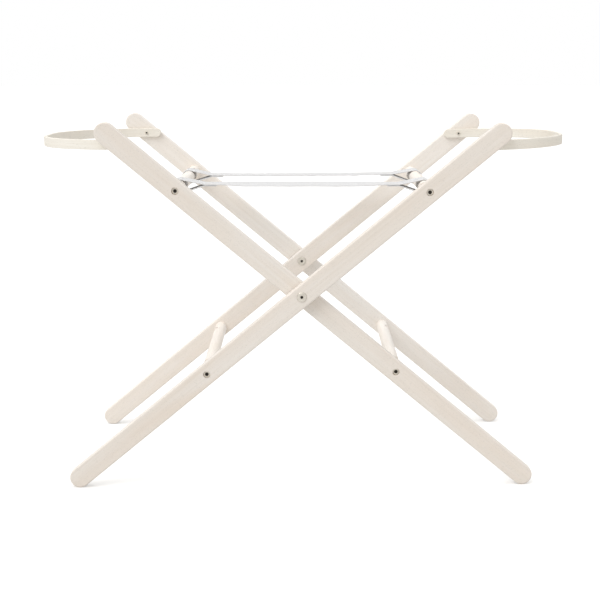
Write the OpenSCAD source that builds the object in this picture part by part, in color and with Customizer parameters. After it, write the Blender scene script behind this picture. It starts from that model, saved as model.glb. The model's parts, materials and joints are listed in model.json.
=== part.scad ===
// Folding bassinet stand: two crossed frames of round-ended legs, joined by round rails and
// two webbing straps, with a bent-wood hoop at each end that holds the basket in place.
// Millimetres. +X runs along the stand, +Y to the rear, +Z up. The origin is on the floor,
// under the crossing of the legs. The rear half is the front half turned half a turn about Z.

/* [Stand] */
// Depth over the outer faces of the outer legs
stand_depth = 350; // [280:1:420]
// Angle between the upper halves of the two frames when the straps are tight
open_angle = 100.5; // [75:0.5:125]

/* [Legs] */
// Length of a leg over its round ends
leg_len = 826; // [680:1:1000]
// Width of a leg
leg_w = 30; // [25:0.5:36]
// Thickness of a leg
leg_t = 15; // [12.5:0.5:20]
// Rounding along the long edges of a leg
leg_edge_r = 2; // [0.5:0.5:4]
// Distance from the foot's tip to the crossing bolt, along the leg
pivot_from_foot = 445; // [370:1:520]

/* [Rails] */
// Diameter of the round rails
rail_d = 19; // [15:0.5:24]
// Distance from the hoop's screws down to the upper rail, along the leg
rail_below_hoop = 102; // [80:1:130]
// Distance from the foot's tip up to the lower rail, along the leg
lower_rail_from_foot = 264; // [200:1:320]

/* [Hoops] */
// Distance from the leg's upper tip down to the hoop's screws, along the leg
hoop_from_top = 42; // [30:1:60]
// Reach of a hoop from its screws to its outermost point
hoop_reach = 134; // [118:1:168]
// Height of the hoop's strip
hoop_h = 14.5; // [12:0.5:20]
// Thickness of the hoop's strip
hoop_t = 5; // [4:0.5:7]
// Length of a hoop's rear arm past its screw
hoop_rear_tail = 24; // [12:1:32]
// Length of a hoop's front arm past its screw
hoop_front_tail = 14; // [12:1:32]
// Radius of the bend at each side of a hoop, to the outer face
hoop_corner_r = 129; // [80:1:145]
// Rounding along the edges of the strip
hoop_edge_r = 1; // [0.5:0.25:1.5]
// Droop of the left hoop as it rests, in degrees
hoop_left_droop = 0.5; // [-4:0.5:4]
// Droop of the right hoop as it rests, in degrees; below zero it tips up
hoop_right_droop = -1.5; // [-4:0.5:4]

/* [Straps] */
// Width of the webbing
strap_w = 38; // [25:1:50]
// Thickness of the webbing
strap_t = 1.5; // [1:0.1:2]
// Distance of each strap's centre line from the middle of the stand
strap_y = 77; // [50:1:82]
// Distance from a rail's centre to the point where the two layers meet
strap_loop = 33; // [28:1:45]
// Height of the strap's level run above the rails' centres
strap_rise = 3; // [0:0.5:5]

/* [Crossing bolts] */
// Diameter of the sleeve nut's barrel
sleeve_d = 8; // [7.5:0.5:10]
// Diameter of the flat heads on the bolt and on the sleeve nut
pivot_head_d = 14.5; // [12:0.5:18]
// Thickness of those heads
pivot_head_t = 2.5; // [2:0.25:3.5]
// Depth that those heads are let into the legs
pivot_sink = 1.5; // [0.5:0.25:2]
// Length of the crossing bolt's thread
pivot_bolt_len = 20; // [14:1:22]
// Gap between two crossing legs, filled by the spacer washer
pivot_gap = 1; // [0.6:0.1:2]
// Outside diameter of the spacer washer
pivot_washer_d = 24; // [18:1:28]

/* [Rail bolts] */
// Diameter of the threads of the rail bolts and the crossing bolts
thread_d = 6; // [5:0.5:6.5]
// Diameter of a rail bolt's head
rail_head_d = 10; // [9:0.5:12]
// Height of a rail bolt's head
rail_head_h = 5; // [4:0.5:6]
// Wood left under a rail bolt's head
rail_seat = 7; // [5:0.5:8]
// Distance from a rail's end to the axis of its barrel nut
nut_inset = 42; // [35:1:46]
// Diameter of a barrel nut
nut_d = 9; // [8.5:0.5:10]
// Depth that a barrel nut's ends lie below the rail's surface
nut_recess = 0.8; // [0.5:0.1:1.5]
// Length of bolt past the barrel nut's axis
bolt_past_nut = 7; // [6:1:10]

/* [Hoop screws] */
// Diameter of the screw
screw_d = 4; // [3.5:0.5:5]
// Diameter of the screw's head
screw_head_d = 6; // [6:0.5:10]
// Height of the screw's head
screw_head_h = 2; // [1.8:0.2:2.4]
// Depth of the screw in the leg
screw_bite = 11; // [8:0.5:12]
// Outside diameter of the washer between arm and leg
screw_washer_d = 12; // [10:0.5:15]
// Thickness of that washer
screw_washer_t = 0.8; // [0.5:0.1:1.5]

/* [Clearances] */
// Running clearance round a pivot, on the radius
pivot_clear = 0.05; // [0.03:0.01:0.1]
// Clearance round a thread or a pressed-in piece, on the radius
thread_clear = 0.05; // [0.03:0.01:0.1]
// Clearance round a bolt, a head or a nut in wood, on the radius
hole_clear = 0.2; // [0.1:0.05:0.4]
// Play beside a face that turns against another
play = 0.1; // [0.05:0.05:0.3]
// Gap between the webbing and the rail
strap_gap = 0.3; // [0.3:0.1:0.6]

/* [Hidden] */
$fn = 96;

wood = "#e9e0d6";
rail_wood = "#f2e9dc";
hoop_wood = "#e8e3d2";
webbing = "#f1f2f4";
steel = "#b9b5ae";
nylon = "#e4e1da";

// Overrun of a cut past the face it starts from
cut = 1;

// Angle of a leg from the vertical
lean = open_angle / 2;
foot_r = leg_w / 2;
pivot_z = foot_r + (pivot_from_foot - foot_r) * cos(lean);
// Leg's end centres, measured up from the crossing
leg_bottom = foot_r - pivot_from_foot;
leg_top = leg_len - foot_r - pivot_from_foot;
// Hoop screws and rails, measured up or down the leg from the crossing
hoop_up = leg_len - pivot_from_foot - hoop_from_top;
upper_rail_up = hoop_up - rail_below_hoop;
lower_rail_down = pivot_from_foot - lower_rail_from_foot;

// Distances of the legs' centre planes from the middle of the stand
outer_leg_y = stand_depth / 2 - leg_t / 2;
inner_leg_y = outer_leg_y - leg_t - pivot_gap;

// Side -1 is a frame's inner leg and side +1 its outer leg. On the left frame that is also
// front and rear. The right frame is the same frame turned half a turn.
function leg_y(side) = side < 0 ? -inner_leg_y : outer_leg_y;
function inner_face(side) = leg_y(side) - side * leg_t / 2;
function outer_face(side) = leg_y(side) + side * leg_t / 2;

rail_len = inner_face(1) - inner_face(-1);
frame_mid_y = (inner_face(1) + inner_face(-1)) / 2;

// Rail bolts and barrel nuts
bolt_hole_d = thread_d + 2 * hole_clear;
head_hole_d = rail_head_d + 2 * hole_clear;
nut_hole_d = nut_d + 2 * hole_clear;
bolt_reach = nut_inset + bolt_past_nut;
nut_len = sqrt(rail_d * rail_d - nut_hole_d * nut_hole_d) - 2 * nut_recess;
// Room in the rail past the bolt's tip
bolt_tip_room = 3;
rail_socket_af = 5;
rail_socket_depth = 3;
nut_slot_w = 1.4;
nut_slot_depth = 1.2;
bolt_chamfer = 0.6;

// Crossing bolts
pivot_bore_d = sleeve_d + 2 * pivot_clear;
pivot_head_hole_d = pivot_head_d + 2 * hole_clear;
sleeve_len = 2 * (leg_t - pivot_sink) + pivot_gap + play;
sleeve_bottom = 2;
pivot_socket_af = 4;
pivot_socket_depth = 3.4;
pivot_head_chamfer = 0.7;

// Hoop screws
screw_hole_d = screw_d + 2 * thread_clear;
screw_pivot_d = screw_d + 2 * pivot_clear;
// Room in the leg past the screw's tip
screw_tip_room = 1;
screw_socket_af = 2.5;
screw_socket_depth = 1.4;

// Hoop outline, to the outer face: straight arms, a quarter bend at each side and a short
// straight end. The bend is never wider than the hoop or deeper than its reach.
hoop_half = rail_len / 2 - screw_washer_t - play;
hoop_bend_r = min(hoop_corner_r, hoop_half - hoop_t, hoop_reach - hoop_t);
hoop_straight = hoop_reach - hoop_bend_r;
hoop_end_half = hoop_half - hoop_bend_r;

// Straps
strap_rail_x = upper_rail_up * sin(lean);
strap_z = pivot_z + upper_rail_up * cos(lean);
strap_inner_r = rail_d / 2 + strap_gap;
strap_outer_r = strap_inner_r + strap_t;
strap_outer_loop = strap_loop * strap_outer_r / strap_inner_r;
strap_turn = asin(strap_rise / strap_loop);
strap_run = 2 * (strap_rail_x - strap_loop * cos(strap_turn));

// ---- Placing ----

// Leg frame: origin at the crossing, +Z up the leg, Y across the stand
module on_left_frame() {
    translate([0, 0, pivot_z])
        rotate([0, -lean, 0])
            children();
}

module on_right_frame() {
    rotate([0, 0, 180])
        on_left_frame()
            children();
}

// Turns +Z to point towards -Y for side +1 and towards +Y for side -1
module facing(side) {
    rotate([side * 90, 0, 0])
        children();
}

// Level frame at a hoop's screws: origin on the screws' axis, -X away from the stand
module at_hoop(droop) {
    translate([0, frame_mid_y, hoop_up])
        rotate([0, lean - droop, 0])
            children();
}

// ---- Shared shapes ----

// Rectangle with round corners, centred
module round_rect(w, t, r) {
    square([w - 2 * r, t], center = true);
    square([w, t - 2 * r], center = true);
    for (x = [-1, 1], y = [-1, 1])
        translate([x * (w / 2 - r), y * (t / 2 - r)])
            circle(r);
}

// Half of that rectangle, on the +X side of the axis
module half_round_rect(w, t, r) {
    intersection() {
        round_rect(w, t, r);
        translate([0, -t / 2])
            square([w / 2, t]);
    }
}

// Bar along Z between two end centres, with round edges and the ends asked for
module round_end_bar(z_low, z_high, w, t, r, low_end, high_end) {
    translate([0, 0, z_low])
        linear_extrude(height = z_high - z_low)
            round_rect(w, t, r);
    if (low_end)
        translate([0, 0, z_low])
            rotate([-90, 0, 0])
                rotate_extrude(angle = 180)
                    half_round_rect(w, t, r);
    if (high_end)
        translate([0, 0, z_high])
            rotate([90, 0, 0])
                rotate_extrude(angle = 180)
                    half_round_rect(w, t, r);
}

// Hole into a leg from its face on the given side
module drill(z, side, d, depth) {
    translate([0, side * (leg_t / 2 + cut), z])
        facing(side)
            cylinder(d = d, h = depth + cut);
}

module hex_socket(af, depth) {
    cylinder(d = af / cos(30), h = depth, $fn = 6);
}

module washer(d, bore, t) {
    difference() {
        cylinder(d = d, h = t);
        translate([0, 0, -cut])
            cylinder(d = bore, h = t + 2 * cut);
    }
}

// ---- Wood ----

// A leg. The crossing head is let into the outer leg's outer face and into the inner leg's
// inner face, so both heads clamp the pair.
module leg(side) {
    color(wood)
        translate([0, leg_y(side), 0])
            difference() {
                round_end_bar(leg_bottom, leg_top, leg_w, leg_t, leg_edge_r, true, true);
                drill(0, side, pivot_bore_d, leg_t + cut);
                drill(0, 1, pivot_head_hole_d, pivot_sink);
                for (z = [upper_rail_up, -lower_rail_down]) {
                    drill(z, side, bolt_hole_d, leg_t + cut);
                    drill(z, side, head_hole_d, leg_t - rail_seat);
                }
                drill(hoop_up, -side, screw_hole_d, screw_bite + screw_tip_room);
            }
}

// A round rail between the legs, bored at each end for its bolt and across for its nut
module rail(z) {
    color(rail_wood)
        difference() {
            translate([0, inner_face(1), z])
                facing(1)
                    cylinder(d = rail_d, h = rail_len);
            for (side = [-1, 1]) {
                translate([0, inner_face(side) + side * cut, z])
                    facing(side)
                        cylinder(d = bolt_hole_d, h = bolt_reach + bolt_tip_room + cut);
                translate([-rail_d, inner_face(side) - side * nut_inset, z])
                    rotate([0, 90, 0])
                        cylinder(d = nut_hole_d, h = 2 * rail_d);
            }
        }
}

// One arm with its side bend, on the side that is asked for
module hoop_arm(side, tail) {
    mirror([0, (1 - side) / 2, 0]) {
        translate([-hoop_straight, hoop_half - hoop_bend_r, 0])
            rotate([0, 0, 90])
                rotate_extrude(angle = 90)
                    translate([hoop_bend_r - hoop_t / 2, 0])
                        round_rect(hoop_t, hoop_h, hoop_edge_r);
        translate([0, hoop_half - hoop_t / 2, 0])
            rotate([0, 90, 0])
                round_end_bar(-hoop_straight, tail - hoop_h / 2,
                    hoop_h, hoop_t, hoop_edge_r, false, true);
    }
}

// A hoop, with its rear arm on the given side of the frame. Both hoops are one part: turned
// over about its length it swaps its arms.
module hoop(droop, rear_side) {
    color(hoop_wood)
        at_hoop(droop)
            difference() {
                union() {
                    translate([hoop_t / 2 - hoop_reach, hoop_end_half, 0])
                        rotate([90, 0, 0])
                            linear_extrude(height = 2 * hoop_end_half)
                                round_rect(hoop_t, hoop_h, hoop_edge_r);
                    hoop_arm(rear_side, hoop_rear_tail);
                    hoop_arm(-rear_side, hoop_front_tail);
                }
                translate([0, hoop_half + cut, 0])
                    facing(1)
                        cylinder(d = screw_pivot_d, h = 2 * (hoop_half + cut));
            }
}

// ---- Webbing ----

// Circle of radius r with the two tangents that meet at the point [reach, 0]
module teardrop(r, reach) {
    touch = acos(r / reach);
    circle(r);
    polygon([[0, 0], [r * cos(touch), -r * sin(touch)], [reach, 0], [r * cos(touch), r * sin(touch)]]);
}

// Shape on each upper rail, pointing at the place where the strap's two layers meet
module round_each_rail() {
    for (side = [-1, 1])
        translate([side * strap_rail_x, 0])
            rotate(90 + side * (90 - strap_turn))
                children();
}

// One strap: a loop round each upper rail and one layer between them
module strap(y) {
    color(webbing)
        translate([0, y + strap_w / 2, strap_z])
            rotate([90, 0, 0])
                linear_extrude(height = strap_w)
                    difference() {
                        union() {
                            translate([0, strap_rise])
                                square([strap_run, strap_t], center = true);
                            round_each_rail()
                                teardrop(strap_outer_r, strap_outer_loop);
                        }
                        round_each_rail()
                            teardrop(strap_inner_r, strap_loop);
                    }
}

// ---- Crossing bolts ----

// Flat head with a chamfered rim and a hex socket, its underside at z = 0
module pivot_head() {
    difference() {
        union() {
            translate([0, 0, pivot_head_chamfer - pivot_head_t])
                cylinder(d = pivot_head_d, h = pivot_head_t - pivot_head_chamfer);
            translate([0, 0, -pivot_head_t])
                cylinder(d1 = pivot_head_d - 2 * pivot_head_chamfer, d2 = pivot_head_d,
                    h = pivot_head_chamfer);
        }
        translate([0, 0, -pivot_head_t - cut])
            hex_socket(pivot_socket_af, pivot_socket_depth + cut);
    }
}

// Bolt that screws into the sleeve nut and stops against its end
module pivot_bolt() {
    color(steel)
        translate([0, inner_face(-1) - pivot_sink - sleeve_len, 0])
            facing(-1) {
                pivot_head();
                cylinder(d = thread_d, h = pivot_bolt_len - bolt_chamfer);
                translate([0, 0, pivot_bolt_len - bolt_chamfer])
                    cylinder(d1 = thread_d, d2 = thread_d - 2 * bolt_chamfer, h = bolt_chamfer);
            }
}

// Sleeve nut: the two crossing legs turn on its barrel
module pivot_sleeve_nut() {
    color(steel)
        translate([0, inner_face(-1) - pivot_sink, 0])
            facing(1)
                difference() {
                    union() {
                        pivot_head();
                        cylinder(d = sleeve_d, h = sleeve_len);
                    }
                    translate([0, 0, sleeve_bottom])
                        cylinder(d = thread_d + 2 * thread_clear, h = sleeve_len);
                }
}

module pivot_washer() {
    color(nylon)
        translate([0, outer_face(-1), 0])
            facing(1)
                washer(pivot_washer_d, pivot_bore_d, pivot_gap - play);
}

// ---- Rail bolts ----

module rail_bolt(side, z) {
    color(steel)
        translate([0, inner_face(side) + side * rail_seat, z])
            facing(side) {
                difference() {
                    union() {
                        translate([0, 0, bolt_chamfer - rail_head_h])
                            cylinder(d = rail_head_d, h = rail_head_h - bolt_chamfer);
                        translate([0, 0, -rail_head_h])
                            cylinder(d1 = rail_head_d - 2 * bolt_chamfer, d2 = rail_head_d,
                                h = bolt_chamfer);
                    }
                    translate([0, 0, -rail_head_h - cut])
                        hex_socket(rail_socket_af, rail_socket_depth + cut);
                }
                cylinder(d = thread_d, h = rail_seat + bolt_reach - bolt_chamfer);
                translate([0, 0, rail_seat + bolt_reach - bolt_chamfer])
                    cylinder(d1 = thread_d, d2 = thread_d - 2 * bolt_chamfer, h = bolt_chamfer);
            }
}

// Barrel nut across the rail, tapped for the bolt and slotted for a screwdriver
module barrel_nut(side, z) {
    color(steel)
        translate([0, inner_face(side) - side * nut_inset, z])
            difference() {
                rotate([0, 90, 0])
                    cylinder(d = nut_d, h = nut_len, center = true);
                rotate([90, 0, 0])
                    cylinder(d = thread_d + 2 * thread_clear, h = nut_d + cut, center = true);
                translate([nut_len / 2, 0, 0])
                    cube([2 * nut_slot_depth, nut_d + cut, nut_slot_w], center = true);
            }
}

// ---- Hoop screws ----

module hoop_screw(side) {
    shank = hoop_t + 2 * play + screw_washer_t + screw_bite;
    color(steel)
        translate([0, inner_face(side) - side * (shank - screw_bite), hoop_up])
            facing(-side) {
                difference() {
                    translate([0, 0, -screw_head_h])
                        cylinder(d1 = screw_head_d - screw_head_h, d2 = screw_head_d, h = screw_head_h);
                    translate([0, 0, -screw_head_h - cut])
                        hex_socket(screw_socket_af, screw_socket_depth + cut);
                }
                cylinder(d = screw_d, h = shank);
            }
}

module hoop_washer(side) {
    color(nylon)
        translate([0, inner_face(side), hoop_up])
            facing(side)
                washer(screw_washer_d, screw_pivot_d, screw_washer_t);
}

// ---- Assembly ----

on_left_frame() leg(-1);  // left_frame_front_leg
on_left_frame() leg(1);  // left_frame_rear_leg
on_right_frame() leg(1);  // right_frame_front_leg
on_right_frame() leg(-1);  // right_frame_rear_leg

on_left_frame() rail(upper_rail_up);  // left_frame_upper_rail
on_left_frame() rail(-lower_rail_down);  // left_frame_lower_rail
on_right_frame() rail(upper_rail_up);  // right_frame_upper_rail
on_right_frame() rail(-lower_rail_down);  // right_frame_lower_rail

on_left_frame() hoop(hoop_left_droop, 1);  // hoop_left
on_right_frame() hoop(hoop_right_droop, -1);  // hoop_right

strap(-strap_y);  // strap_front
strap(strap_y);  // strap_rear

on_left_frame() pivot_bolt();  // pivot_front_bolt
on_left_frame() pivot_sleeve_nut();  // pivot_front_sleeve_nut
on_left_frame() pivot_washer();  // pivot_front_washer
on_right_frame() pivot_bolt();  // pivot_rear_bolt
on_right_frame() pivot_sleeve_nut();  // pivot_rear_sleeve_nut
on_right_frame() pivot_washer();  // pivot_rear_washer

on_left_frame() rail_bolt(-1, upper_rail_up);  // left_upper_front_bolt
on_left_frame() rail_bolt(1, upper_rail_up);  // left_upper_rear_bolt
on_left_frame() rail_bolt(-1, -lower_rail_down);  // left_lower_front_bolt
on_left_frame() rail_bolt(1, -lower_rail_down);  // left_lower_rear_bolt
on_right_frame() rail_bolt(1, upper_rail_up);  // right_upper_front_bolt
on_right_frame() rail_bolt(-1, upper_rail_up);  // right_upper_rear_bolt
on_right_frame() rail_bolt(1, -lower_rail_down);  // right_lower_front_bolt
on_right_frame() rail_bolt(-1, -lower_rail_down);  // right_lower_rear_bolt

on_left_frame() barrel_nut(-1, upper_rail_up);  // left_upper_front_nut
on_left_frame() barrel_nut(1, upper_rail_up);  // left_upper_rear_nut
on_left_frame() barrel_nut(-1, -lower_rail_down);  // left_lower_front_nut
on_left_frame() barrel_nut(1, -lower_rail_down);  // left_lower_rear_nut
on_right_frame() barrel_nut(1, upper_rail_up);  // right_upper_front_nut
on_right_frame() barrel_nut(-1, upper_rail_up);  // right_upper_rear_nut
on_right_frame() barrel_nut(1, -lower_rail_down);  // right_lower_front_nut
on_right_frame() barrel_nut(-1, -lower_rail_down);  // right_lower_rear_nut

on_left_frame() hoop_screw(-1);  // hoop_left_front_screw
on_left_frame() hoop_screw(1);  // hoop_left_rear_screw
on_right_frame() hoop_screw(1);  // hoop_right_front_screw
on_right_frame() hoop_screw(-1);  // hoop_right_rear_screw

on_left_frame() hoop_washer(-1);  // hoop_left_front_washer
on_left_frame() hoop_washer(1);  // hoop_left_rear_washer
on_right_frame() hoop_washer(1);  // hoop_right_front_washer
on_right_frame() hoop_washer(-1);  // hoop_right_rear_washer
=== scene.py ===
import json
import math
import random

import bmesh
import bpy
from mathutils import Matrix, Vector


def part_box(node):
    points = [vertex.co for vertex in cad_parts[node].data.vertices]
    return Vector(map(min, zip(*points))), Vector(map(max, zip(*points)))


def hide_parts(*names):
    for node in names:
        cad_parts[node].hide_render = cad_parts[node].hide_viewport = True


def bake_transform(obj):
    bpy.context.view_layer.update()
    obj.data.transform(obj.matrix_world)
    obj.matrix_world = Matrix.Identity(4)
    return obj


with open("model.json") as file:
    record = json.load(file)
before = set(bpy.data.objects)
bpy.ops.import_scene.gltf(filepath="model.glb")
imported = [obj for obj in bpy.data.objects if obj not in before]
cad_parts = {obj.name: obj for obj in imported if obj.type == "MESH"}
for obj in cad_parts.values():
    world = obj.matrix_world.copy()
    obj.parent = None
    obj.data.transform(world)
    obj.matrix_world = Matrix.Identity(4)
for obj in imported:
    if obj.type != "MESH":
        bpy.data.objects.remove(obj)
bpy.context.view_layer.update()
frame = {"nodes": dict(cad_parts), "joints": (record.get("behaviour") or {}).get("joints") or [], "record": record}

# ---- Sizes that the looks need, from the frame ----

FOLD = next(j for j in frame["joints"] if j["name"] == "fold")
CROSSING = Vector(FOLD["pos_m"])


def centre(node):
    low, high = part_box(node)
    return (low + high) / 2


def size(node):
    low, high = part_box(node)
    return high - low


RAIL_LEFT = centre("left_frame_upper_rail")
RAIL_RIGHT = centre("right_frame_upper_rail")
RAIL_R = size("left_frame_upper_rail").x / 2
LEAN = math.atan2(RAIL_RIGHT.x - CROSSING.x, RAIL_RIGHT.z - CROSSING.z)
STRAP_W = size("strap_front").y
STRAP_T = 0.0015
STRAP_TOP = next(m for m in frame["record"]["mounts"] if m["name"] == "strap_front_top")
# Height of the level layer's middle above the rails' centres
RISE = STRAP_TOP["pos_m"][2] - STRAP_T / 2 - RAIL_LEFT.z


# ---- Camera ----

CAMERA_AT = (0.0, -1.867, 0.6236)
CAMERA_PITCH = 0.197
CAMERA_YAW = 0.003
CAMERA_LENS = 71.635
CAMERA_SHIFT_X = 0.00285
camera = bpy.data.objects.new("camera", bpy.data.cameras.new("camera"))
bpy.context.scene.collection.objects.link(camera)
camera.data.sensor_width = 36
camera.data.lens = CAMERA_LENS
camera.data.shift_x = CAMERA_SHIFT_X
camera.location = CAMERA_AT
camera.rotation_euler = (math.pi / 2 - CAMERA_PITCH, 0, CAMERA_YAW)
bpy.context.scene.camera = camera


# ---- Materials ----

def srgb(r, g, b):
    """An 8-bit screen colour as a linear RGBA tuple."""
    def one(v):
        v /= 255
        return v / 12.92 if v <= 0.04045 else ((v + 0.055) / 1.055) ** 2.4
    return (one(r), one(g), one(b), 1)


class Nodes:
    """Short calls for building one material's node tree."""

    def __init__(self, name):
        self.material = bpy.data.materials.new(name)
        self.material.use_nodes = True
        self.tree = self.material.node_tree
        self.tree.nodes.clear()
        out = self.add("ShaderNodeOutputMaterial")
        self.shader = self.add("ShaderNodeBsdfPrincipled")
        self.link(self.shader.outputs[0], out.inputs["Surface"])

    def add(self, kind, **settings):
        node = self.tree.nodes.new(kind)
        for key, value in settings.items():
            setattr(node, key, value)
        return node

    def link(self, a, b):
        self.tree.links.new(a, b)

    def put(self, socket, value):
        if isinstance(value, bpy.types.NodeSocket):
            self.link(value, socket)
        else:
            socket.default_value = value

    def coords(self, output="Object", rotation=(0, 0, 0)):
        source = self.add("ShaderNodeTexCoord")
        turn = self.add("ShaderNodeMapping")
        self.link(source.outputs[output], turn.inputs["Vector"])
        turn.inputs["Rotation"].default_value = rotation
        return turn.outputs[0]

    def stretch(self, vector, scale, location=(0, 0, 0)):
        turn = self.add("ShaderNodeMapping")
        self.link(vector, turn.inputs["Vector"])
        turn.inputs["Scale"].default_value = scale
        turn.inputs["Location"].default_value = location
        return turn.outputs[0]

    def noise(self, vector, detail, rough, distort=0.0):
        node = self.add("ShaderNodeTexNoise")
        self.link(vector, node.inputs["Vector"])
        node.inputs["Scale"].default_value = 1.0
        node.inputs["Detail"].default_value = detail
        node.inputs["Roughness"].default_value = rough
        node.inputs["Distortion"].default_value = distort
        return node.outputs["Fac"]

    def math(self, operation, a, b=0.0):
        node = self.add("ShaderNodeMath", operation=operation)
        for socket, value in zip(node.inputs, (a, b)):
            self.put(socket, value)
        return node.outputs[0]

    def remap(self, value, low, high, to_low=0.0, to_high=1.0, smooth=False):
        node = self.add("ShaderNodeMapRange")
        if smooth:
            node.interpolation_type = "SMOOTHSTEP"
        self.link(value, node.inputs["Value"])
        for key, number in (("From Min", low), ("From Max", high),
                            ("To Min", to_low), ("To Max", to_high)):
            node.inputs[key].default_value = number
        return node.outputs["Result"]

    def mix(self, factor, a, b):
        node = self.add("ShaderNodeMix", data_type="RGBA")
        self.put(node.inputs["Factor"], factor)
        self.put(node.inputs[6], a)
        self.put(node.inputs[7], b)
        return node.outputs[2]

    def split(self, vector):
        node = self.add("ShaderNodeSeparateXYZ")
        self.link(vector, node.inputs[0])
        return node.outputs

    def bump(self, height, strength, distance):
        node = self.add("ShaderNodeBump")
        node.inputs["Strength"].default_value = strength
        node.inputs["Distance"].default_value = distance
        self.link(height, node.inputs["Height"])
        return node.outputs[0]


def wood(name, base, turn, seed, edge=None, mid=0.0, bent=False):
    """Pale limed beech. turn lays the grain along the texture's Z; seed picks the piece of wood.
    edge is (half width, wear width) of a flat leg, whose long edges are rubbed a little lighter.
    bent wood lies level and its grain follows the strip."""
    n = Nodes(name)
    here = n.coords(rotation=turn)
    place = n.stretch(here, (1, 1, 1), (seed * 0.713, seed * 0.371, seed * 0.219))

    def grained(across, along):
        return n.stretch(place, (along, along, across) if bent else (across, across, along))

    # broad tone, a few centimetres wide and much longer along the grain
    broad = n.noise(grained(26, 2.6), 3, 0.55, 0.6)
    # growth lines, a few millimetres apart
    lines = n.noise(grained(240, 4.5), 4, 0.6, 0.8)
    # fine fibres
    fibre = n.noise(grained(1500, 26), 2, 0.5)
    # short dark flecks of the rays, about 2 mm long
    ray_cells = n.noise(grained(1900, 330), 0, 0.5)
    fleck = n.remap(ray_cells, 0.68, 0.76)
    # wash that sits thicker in places
    wash = n.noise(grained(60, 22), 5, 0.65)

    dark = tuple(c * f for c, f in zip(base[:3], (0.90, 0.87, 0.82))) + (1,)
    light = tuple(min(1, c * f) for c, f in zip(base[:3], (1.05, 1.06, 1.08))) + (1,)
    pink = tuple(c * f for c, f in zip(base[:3], (1.01, 0.965, 0.93))) + (1,)
    tone = n.mix(n.remap(broad, 0.3, 0.7), pink, light)
    tone = n.mix(n.remap(lines, 0.42, 0.72, 0.0, 0.38), tone, dark)
    tone = n.mix(n.remap(fibre, 0.5, 0.8, 0.0, 0.30), tone, dark)
    tone = n.mix(n.math("MULTIPLY", fleck, 0.45), tone, tuple(c * 0.66 for c in base[:3]) + (1,))
    tone = n.mix(n.remap(wash, 0.52, 0.75, 0.0, 0.35), tone, light)
    if edge is not None:
        half, band = edge
        across = n.math("ABSOLUTE", n.math("SUBTRACT", n.split(here)[0], mid))
        rub = n.remap(across, half - band, half, smooth=True)
        rub = n.math("MULTIPLY", rub, n.remap(wash, 0.35, 0.65, 0.25, 0.8))
        tone = n.mix(rub, tone, light)
    n.link(tone, n.shader.inputs["Base Color"])
    n.link(n.remap(wash, 0.2, 0.8, 0.46, 0.62), n.shader.inputs["Roughness"])
    n.shader.inputs["Specular IOR Level"].default_value = 0.42
    height = n.math("ADD", n.math("MULTIPLY", lines, 0.6), n.math("MULTIPLY", fibre, 0.5))
    height = n.math("SUBTRACT", height, n.math("MULTIPLY", fleck, 0.5))
    n.link(n.bump(height, 0.35, 0.00025), n.shader.inputs["Normal"])
    return n.material


def steel(name, axis=None, socket=0.0):
    """Zinc-plated steel with fine turning marks and a cloudy passivated tone. A head whose axis along Y is given
    is dull inside its socket's radius, and painted dark there as painted shade for the deep socket."""
    n = Nodes(name)
    here = n.coords()
    cloud = n.noise(n.stretch(here, (180, 180, 180)), 4, 0.6)
    marks = n.noise(n.stretch(here, (2600, 500, 2600)), 3, 0.6)
    tone = n.mix(n.remap(cloud, 0.3, 0.7), srgb(212, 205, 193), srgb(236, 230, 219))
    rough = n.math("ADD", n.remap(marks, 0.3, 0.7, 0.0, 0.14), n.remap(cloud, 0.3, 0.7, 0.34, 0.46))
    n.shader.inputs["Metallic"].default_value = 0.7
    if axis is not None:
        x, _, z = n.split(here)
        off_x, off_z = n.math("SUBTRACT", x, axis.x), n.math("SUBTRACT", z, axis.z)
        off = n.math("SQRT", n.math("ADD", n.math("POWER", n.math("ABSOLUTE", off_x), 2.0),
                                    n.math("POWER", n.math("ABSOLUTE", off_z), 2.0)))
        # painted shade: dark inside the socket's radius, standing in for the shade in the deep hex socket
        painted_socket_shade = n.remap(off, socket * 0.9, socket, 1.0, 0.0)
        tone = n.mix(painted_socket_shade, tone, srgb(96, 90, 82))
        rough = n.math("MAXIMUM", rough, n.math("MULTIPLY", painted_socket_shade, 0.8))
    n.link(tone, n.shader.inputs["Base Color"])
    n.link(rough, n.shader.inputs["Roughness"])
    n.link(n.bump(marks, 0.25, 0.00008), n.shader.inputs["Normal"])
    return n.material


def nylon(name):
    """Milky moulded washer."""
    n = Nodes(name)
    here = n.coords()
    cloud = n.noise(n.stretch(here, (300, 300, 300)), 4, 0.6)
    grit = n.noise(n.stretch(here, (2400, 2400, 2400)), 2, 0.5)
    n.link(n.mix(cloud, srgb(219, 216, 208), srgb(233, 231, 225)), n.shader.inputs["Base Color"])
    n.link(n.remap(grit, 0.3, 0.7, 0.42, 0.58), n.shader.inputs["Roughness"])
    n.shader.inputs["Subsurface Weight"].default_value = 0.15
    n.shader.inputs["Subsurface Scale"].default_value = 0.0015
    n.link(n.bump(grit, 0.2, 0.00006), n.shader.inputs["Normal"])
    return n.material


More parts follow.
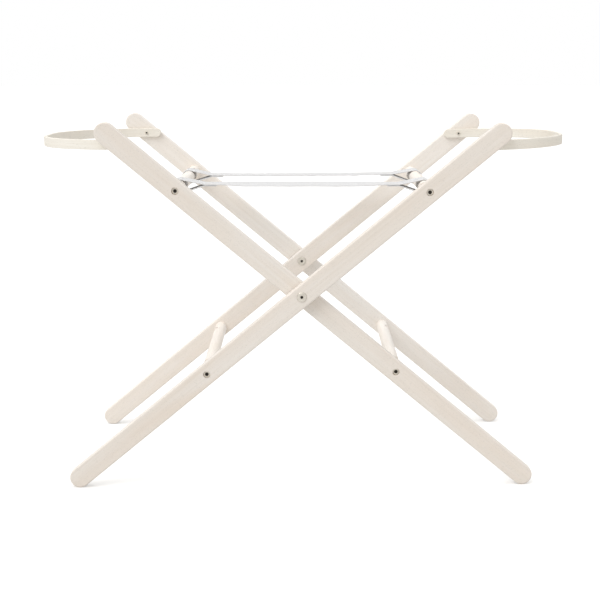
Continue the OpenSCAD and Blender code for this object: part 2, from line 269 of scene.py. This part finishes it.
def webbing(name):
    """White woven webbing. UV is in metres: U along the strap, V across it."""
    n = Nodes(name)
    uv = n.coords("UV")
    along, across, _ = n.split(uv)
    # warp yarns 1.1 mm wide with picks every 1.6 mm, every second yarn half a step on
    yarn = 0.0011
    pick = 0.0016
    column = n.math("FLOOR", n.math("DIVIDE", across, yarn))
    odd = n.math("MULTIPLY", n.math("MODULO", n.math("ABSOLUTE", column), 2.0), pick / 2)
    rib = n.math("SINE", n.math("MULTIPLY", n.math("DIVIDE", across, yarn), math.pi))
    rib = n.math("ABSOLUTE", rib)
    beat = n.math("SINE", n.math("MULTIPLY", n.math("ADD", along, odd), 2 * math.pi / pick))
    beat = n.remap(beat, -1, 1, 0, 1)
    weave = n.math("MULTIPLY", n.math("POWER", rib, 0.6), n.remap(beat, 0, 1, 0.45, 1.0))
    fuzz = n.noise(n.stretch(uv, (900, 5200, 1)), 3, 0.6)
    handled = n.noise(n.stretch(uv, (22, 60, 1)), 4, 0.6)
    tone = n.mix(n.remap(weave, 0.1, 0.9), srgb(199, 198, 197), srgb(232, 232, 233))
    tone = n.mix(n.remap(handled, 0.5, 0.8, 0.0, 0.35), tone, srgb(214, 211, 206))
    tone = n.mix(n.remap(fuzz, 0.4, 0.8, 0.0, 0.25), tone, srgb(237, 237, 239))
    n.link(tone, n.shader.inputs["Base Color"])
    n.link(n.remap(fuzz, 0.3, 0.7, 0.72, 0.9), n.shader.inputs["Roughness"])
    n.shader.inputs["Sheen Weight"].default_value = 0.25
    n.shader.inputs["Sheen Roughness"].default_value = 0.4
    height = n.math("ADD", weave, n.math("MULTIPLY", fuzz, 0.25))
    n.link(n.bump(height, 0.7, 0.0003), n.shader.inputs["Normal"])
    return n.material


def thread(name):
    """Twisted sewing thread."""
    n = Nodes(name)
    here = n.coords()
    ply = n.noise(n.stretch(here, (3500, 3500, 3500)), 3, 0.6)
    n.link(n.mix(ply, srgb(214, 212, 208), srgb(240, 239, 236)), n.shader.inputs["Base Color"])
    n.link(n.remap(ply, 0.3, 0.7, 0.45, 0.65), n.shader.inputs["Roughness"])
    n.shader.inputs["Sheen Weight"].default_value = 0.2
    n.link(n.bump(ply, 0.5, 0.0001), n.shader.inputs["Normal"])
    return n.material


def dress(node, material):
    """Puts the material in every slot of a CAD node."""
    for slot in frame["nodes"][node].material_slots:
        slot.material = material


LEG_TONE = srgb(228, 221, 212)
# painted light: the rear legs' wood is painted lighter than the front legs' to lift the shade that the front legs
# cast on them
REAR_LEG_SHADE_LIFTED_TONE = srgb(237, 231, 223)
RAIL_TONE = srgb(244, 239, 232)
HOOP_TONE = srgb(236, 232, 222)
# The left frame's legs lean to -X and the right frame's to +X; grain runs along them
GRAIN = {"left": (0, LEAN, 0), "right": (0, -LEAN, 0)}
# Half of a leg's width, and the width of the rubbed band along its edges
LEG_HALF = 0.015
EDGE_WEAR = 0.002


def leg_mid(side):
    """Where the legs' centre line lies across the grain, in the turned texture frame."""
    turn = GRAIN[side][1]
    return CROSSING.x * math.cos(turn) + CROSSING.z * math.sin(turn)


for number, name in enumerate(("left_frame_front_leg", "left_frame_rear_leg",
                               "right_frame_front_leg", "right_frame_rear_leg")):
    side = name.split("_")[0]
    # the rear legs take the tone that is painted lighter against their shade
    tone = LEG_TONE if "front" in name else REAR_LEG_SHADE_LIFTED_TONE
    dress(name, wood("beech_" + name, tone, GRAIN[side], number + 1,
                     edge=(LEG_HALF, EDGE_WEAR), mid=leg_mid(side)))
for number, name in enumerate(("left_frame_upper_rail", "left_frame_lower_rail",
                               "right_frame_upper_rail", "right_frame_lower_rail")):
    dress(name, wood("beech_" + name, RAIL_TONE, (math.pi / 2, 0, 0), number + 7))
for number, name in enumerate(("hoop_left", "hoop_right")):
    dress(name, wood("beech_" + name, HOOP_TONE, (0, 0, 0), number + 13, bent=True))
STEEL = steel("zinc_plated_steel")
# Radii of the hex sockets, over their corners, which bound each head's painted socket shade
SOCKETS = (("pivot_", 0.0023), ("hoop_", 0.00145), ("left_", 0.0029), ("right_", 0.0029))
NYLON = nylon("nylon")
for name in frame["nodes"]:
    if name.endswith(("_bolt", "_screw", "_sleeve_nut")):
        radius = next(r for start, r in SOCKETS if name.startswith(start))
        # each head gets its own steel, with painted shade in its socket
        dress(name, steel("steel_" + name, centre(name), radius))
    elif name.endswith("_nut"):
        dress(name, STEEL)
    elif name.endswith("_washer"):
        dress(name, NYLON)


# ---- Webbing straps ----

WEBBING = webbing("woven_webbing")
THREAD = thread("sewing_thread")
# The loop's centre line round the rail, with a little slack under the webbing
LOOP_SLACK = 0.0003
LOOP_R = RAIL_R + LOOP_SLACK + STRAP_T / 2
LOOP_STEPS = 40
# Distances from the rail's centre: the joint's start, where its two layers come together and
# where they run level. The sewn tail ends TAIL past the start, and the path of one end of the
# strap goes on for PAST_TAIL.
MEET = 0.033
TOGETHER = MEET + 0.004
LEVEL = MEET + 0.010
TAIL = 0.022
PAST_TAIL = 0.006
# The loop's upper side comes down to the level layer from this far above it
SETTLE = 0.0002
# Distance between the middles of the two sewn layers
LAYER_GAP = STRAP_T * 1.2
# Distance between the mesh's rings, and the number of faces across a flat side and an edge
STEP = 0.0015
FLAT_STEPS = 14
EDGE_STEPS = 4
# The single layer: how far its roll and sag take to come in, its sag, and its ripple's height,
# radians per metre along the strap and metres per radian across it
EASE = 0.05
SAG = 0.0008
RIPPLE = 0.00018
RIPPLE_ALONG = 91.0
RIPPLE_ACROSS = 0.012
# Stitching: its distance from the strap's edges and from the joint's ends, and its thread
STITCH_INSET = 0.004
STITCH_MARGIN = 0.0035
STITCH_PITCH = 0.0030
THREAD_R = 0.00032


def loop_path():
    """Centre line of one end from the tail's cut end, round the rail, to the single layer.
    Points are (towards the stand's middle, up) from the rail's centre."""
    joint = Vector((TOGETHER, RISE))
    aim = math.atan2(joint.y, joint.x)
    touch = math.acos(LOOP_R / joint.length)
    below = RISE - LAYER_GAP
    points = [(MEET + TAIL, below), (LEVEL, below), (TOGETHER, below)]
    # lower tangent, round the far side and back along the upper tangent
    for i in range(LOOP_STEPS + 1):
        a = aim - touch - (2 * math.pi - 2 * touch) * i / LOOP_STEPS
        points.append((LOOP_R * math.cos(a), LOOP_R * math.sin(a)))
    points += [(TOGETHER, RISE + SETTLE), (LEVEL, RISE), (MEET + TAIL + PAST_TAIL, RISE)]
    return points


def smooth_path(points, step):
    """Even points along a Catmull-Rom curve through the given ones."""
    dense = []
    count = len(points)
    for i in range(count - 1):
        p0 = Vector(points[max(i - 1, 0)])
        p1, p2 = Vector(points[i]), Vector(points[i + 1])
        p3 = Vector(points[min(i + 2, count - 1)])
        pieces = max(2, int((p2 - p1).length / step * 4))
        for k in range(pieces):
            t = k / pieces
            t1, t2 = (p2 - p0) * 0.5, (p3 - p1) * 0.5
            # tangents no longer than the span, so that the curve can't overshoot
            span = (p2 - p1).length
            t1 = t1.normalized() * min(t1.length, span)
            t2 = t2.normalized() * min(t2.length, span)
            h = (2 * t**3 - 3 * t**2 + 1, t**3 - 2 * t**2 + t, -2 * t**3 + 3 * t**2, t**3 - t**2)
            dense.append(p1 * h[0] + t1 * h[1] + p2 * h[2] + t2 * h[3])
    dense.append(Vector(points[-1]))
    even, carry = [dense[0]], 0.0
    for a, b in zip(dense, dense[1:]):
        gap = (b - a).length
        while gap > 0 and carry + gap >= step:
            a = a + (b - a) * ((step - carry) / gap)
            even.append(a)
            gap = (b - a).length
            carry = 0.0
        carry += gap
    if (even[-1] - dense[-1]).length > step * 0.3:
        even.append(dense[-1])
    else:
        even[-1] = dense[-1]
    return even


def smoothstep(x, low, high):
    t = min(1.0, max(0.0, (x - low) / (high - low)))
    return t * t * (3 - 2 * t)


def strap(name, node, y, roll, left_drop, right_drop, seed):
    """One strap: a sewn loop round each upper rail and a single taut layer between them.
    roll tips its face towards the front; the drops lower its two sewn joints."""
    random.seed(seed)
    half = loop_path()
    left = [(RAIL_LEFT.x + u, RAIL_LEFT.z + v) for u, v in half]
    right = [(RAIL_RIGHT.x - u, RAIL_RIGHT.z + v) for u, v in reversed(half)]
    path = smooth_path(left + right, STEP)
    # cross-section: flat faces and soft round selvedges
    half_w, half_t = STRAP_W / 2, STRAP_T / 2
    section = []
    for i in range(FLAT_STEPS + 1):
        section.append((-half_w + half_t + (STRAP_W - STRAP_T) * i / FLAT_STEPS, half_t))
    for i in range(1, EDGE_STEPS):
        a = math.pi / 2 - math.pi * i / EDGE_STEPS
        section.append((half_w - half_t + half_t * math.cos(a), half_t * math.sin(a)))
    for i in range(FLAT_STEPS + 1):
        section.append((half_w - half_t - (STRAP_W - STRAP_T) * i / FLAT_STEPS, -half_t))
    for i in range(1, EDGE_STEPS):
        a = -math.pi / 2 - math.pi * i / EDGE_STEPS
        section.append((-half_w + half_t + half_t * math.cos(a), half_t * math.sin(a)))
    girth = [0.0]
    for a, b in zip(section, section[1:] + section[:1]):
        girth.append(girth[-1] + math.hypot(b[0] - a[0], b[1] - a[1]))

    run_l = RAIL_LEFT.x + MEET + TAIL
    run_r = RAIL_RIGHT.x - MEET - TAIL
    mesh = bpy.data.meshes.new(name)
    bm = bmesh.new()
    uv_layer = bm.loops.layers.uv.new("UVMap")
    rings, travel, at = [], [], 0.0
    wave = [random.uniform(-1, 1) for _ in range(4)]
    for i, p in enumerate(path):
        if i:
            at += (p - path[i - 1]).length
        travel.append(at)
        ahead = path[min(i + 1, len(path) - 1)] - path[max(i - 1, 0)]
        ahead.normalize()
        normal = Vector((-ahead.y, ahead.x))
        x = p.x
        share = smoothstep(x, run_l, run_l + EASE) * smoothstep(-x, -run_r, -run_r + EASE)
        tip = roll * share
        # the joints sit a little low or high, and the layer between them is straight
        if x < RAIL_LEFT.x + MEET:
            lower = left_drop * min(1, max(0, (x - RAIL_LEFT.x) / MEET))
        elif x > RAIL_RIGHT.x - MEET:
            lower = right_drop * min(1, max(0, (RAIL_RIGHT.x - x) / MEET))
        else:
            t = (x - RAIL_LEFT.x - MEET) / (RAIL_RIGHT.x - RAIL_LEFT.x - 2 * MEET)
            lower = left_drop + (right_drop - left_drop) * t
        sag = SAG * share
        ring = []
        for v, h in section:
            ripple = RIPPLE * share * sum(
                w * math.sin((k + 1) * RIPPLE_ALONG * x + (k + 2) * v / RIPPLE_ACROSS)
                for k, w in enumerate(wave))
            q = Vector((p.x + normal.x * h, y + v * math.cos(tip),
                        p.y + normal.y * h - lower - sag + v * math.sin(tip) + ripple))
            ring.append(bm.verts.new(q))
        rings.append(ring)
    count = len(section)
    for i in range(len(rings) - 1):
        for k in range(count):
            m = (k + 1) % count
            face = bm.faces.new((rings[i][k], rings[i][m], rings[i + 1][m], rings[i + 1][k]))
            face.smooth = True
            for loop, (u, g) in zip(face.loops, ((travel[i], girth[k]), (travel[i], girth[k + 1]),
                                                 (travel[i + 1], girth[k + 1]),
                                                 (travel[i + 1], girth[k]))):
                loop[uv_layer].uv = (u, g)
    for ring in (rings[0], rings[-1]):
        face = bm.faces.new(ring)
        for loop, (v, h) in zip(face.loops, section):
            loop[uv_layer].uv = (h, v)
    bmesh.ops.recalc_face_normals(bm, faces=bm.faces)
    bm.to_mesh(mesh)
    bm.free()
    obj = bpy.data.objects.new(name, mesh)
    bpy.context.scene.collection.objects.link(obj)
    mesh.materials.append(WEBBING)
    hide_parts(node)
    hang(obj)
    for side, rail, drop in ((1, RAIL_LEFT, left_drop), (-1, RAIL_RIGHT, right_drop)):
        stitches(name + ("_left" if side > 0 else "_right") + "_stitching", rail, side, y, drop)


def hang(obj):
    """Bakes a piece of a strap's placement into its mesh."""
    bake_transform(obj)


def stitches(name, rail, side, y, drop):
    """The box and cross sewn through the two layers of a joint, as thread lying on both faces."""
    u0, u1 = MEET + STITCH_MARGIN, MEET + TAIL - STITCH_MARGIN
    v0, v1 = -STRAP_W / 2 + STITCH_INSET, STRAP_W / 2 - STITCH_INSET
    lines = [((u0, v0), (u1, v0)), ((u1, v0), (u1, v1)), ((u1, v1), (u0, v1)),
             ((u0, v1), (u0, v0)), ((u0, v0), (u1, v1)), ((u0, v1), (u1, v0))]
    # the thread's middle above the upper face, and below the lower one
    upper = STRAP_T / 2 + THREAD_R * 0.3
    lower = -LAYER_GAP - STRAP_T / 2 - THREAD_R * 0.3
    bm = bmesh.new()
    for a, b in lines:
        a, b = Vector(a), Vector(b)
        number = max(1, round((b - a).length / STITCH_PITCH))
        for i in range(number):
            p = a + (b - a) * ((i + 0.12) / number)
            q = a + (b - a) * ((i + 0.88) / number)
            for face, level in ((1, upper), (-1, lower)):
                tube(bm, p, q, level, face, rail, side, y, drop)
    mesh = bpy.data.meshes.new(name)
    bm.to_mesh(mesh)
    bm.free()
    obj = bpy.data.objects.new(name, mesh)
    bpy.context.scene.collection.objects.link(obj)
    mesh.materials.append(THREAD)
    hang(obj)


def tube(bm, p, q, level, face, rail, side, y, drop):
    """One stitch from p to q: thread that dips into the webbing at both ends. level is its height
    above the level layer's middle, and face is 1 on top and -1 underneath."""
    sides, parts = 6, 6
    forward = (q - p).normalized()
    sideways = Vector((-forward.y, forward.x))
    rings = []
    for i in range(parts + 1):
        t = i / parts
        middle = p + (q - p) * t
        dip = -face * THREAD_R * 1.6 * (2 * t - 1) ** 4
        thick = THREAD_R * (0.55 + 0.45 * math.sqrt(max(0.0, 1 - (2 * t - 1) ** 4)))
        ring = []
        for k in range(sides):
            a = 2 * math.pi * k / sides
            flat = middle + sideways * (thick * math.cos(a))
            up = level + dip + thick * math.sin(a)
            ring.append(bm.verts.new((rail.x + side * flat.x, y + flat.y,
                                      rail.z + RISE - drop + up)))
        rings.append(ring)
    for a, b in zip(rings, rings[1:]):
        for k in range(sides):
            m = (k + 1) % sides
            corners = (a[k], a[m], b[m], b[k])
            bm.faces.new(corners if side > 0 else corners[::-1]).smooth = True
    bm.faces.new(rings[0] if side < 0 else rings[0][::-1])
    bm.faces.new(rings[-1][::-1] if side < 0 else rings[-1])


STRAP_Y = centre("strap_rear").y
strap("webbing_front", "strap_front", -STRAP_Y, math.radians(3.5), 0.0, 0.0, 3)
strap("webbing_rear", "strap_rear", STRAP_Y, 0.0, 0.0008, -0.0012, 5)


# ---- Stage ----

def camera_only(nodes, seen, otherwise):
    """One value for what the camera sees, another for the light that reaches the object."""
    path = nodes.add("ShaderNodeLightPath")
    return nodes.remap(path.outputs["Is Camera Ray"], 0, 1, otherwise, seen)


def floor():
    mesh = bpy.data.meshes.new("floor")
    bm = bmesh.new()
    bmesh.ops.create_circle(bm, cap_ends=True, segments=96, radius=30)
    bm.to_mesh(mesh)
    bm.free()
    obj = bpy.data.objects.new("floor", mesh)
    bpy.context.scene.collection.objects.link(obj)
    n = Nodes("pale_floor")
    n.shader.inputs["Base Color"].default_value = (0.7, 0.695, 0.685, 1)
    n.shader.inputs["Roughness"].default_value = 0.9
    n.shader.inputs["Specular IOR Level"].default_value = 0.1
    n.shader.inputs["Emission Color"].default_value = (1, 0.995, 0.985, 1)
    n.link(camera_only(n, FLOOR_LIFT, 0.0), n.shader.inputs["Emission Strength"])
    mesh.materials.append(n.material)


def sun(name, towards, strength, spread):
    """A distant softbox: light arriving from the given direction, over a wide angle."""
    light = bpy.data.lights.new(name, "SUN")
    light.energy = strength
    light.angle = math.radians(spread)
    obj = bpy.data.objects.new(name, light)
    bpy.context.scene.collection.objects.link(obj)
    obj.location = Vector(towards) * 2
    obj.rotation_euler = Vector(towards).to_track_quat("Z", "Y").to_euler()


FLOOR_LIFT = 0.35
SKY_SEEN = 1.0
SKY_LIGHT = 0.64
floor()
sun("key", (-0.48, -0.50, 0.72), 1.35, 40)
sun("top", (0.05, 0.1, 1.0), 0.95, 60)
world = bpy.data.worlds.new("studio")
world.use_nodes = True
sky = world.node_tree.nodes["Background"]
sky.inputs["Color"].default_value = (1, 1, 1, 1)
path = world.node_tree.nodes.new("ShaderNodeLightPath")
strength = world.node_tree.nodes.new("ShaderNodeMapRange")
world.node_tree.links.new(path.outputs["Is Camera Ray"], strength.inputs["Value"])
strength.inputs["To Min"].default_value = SKY_LIGHT
strength.inputs["To Max"].default_value = SKY_SEEN
world.node_tree.links.new(strength.outputs["Result"], sky.inputs["Strength"])
bpy.context.scene.world = world
bpy.context.scene.view_settings.view_transform = "Standard"
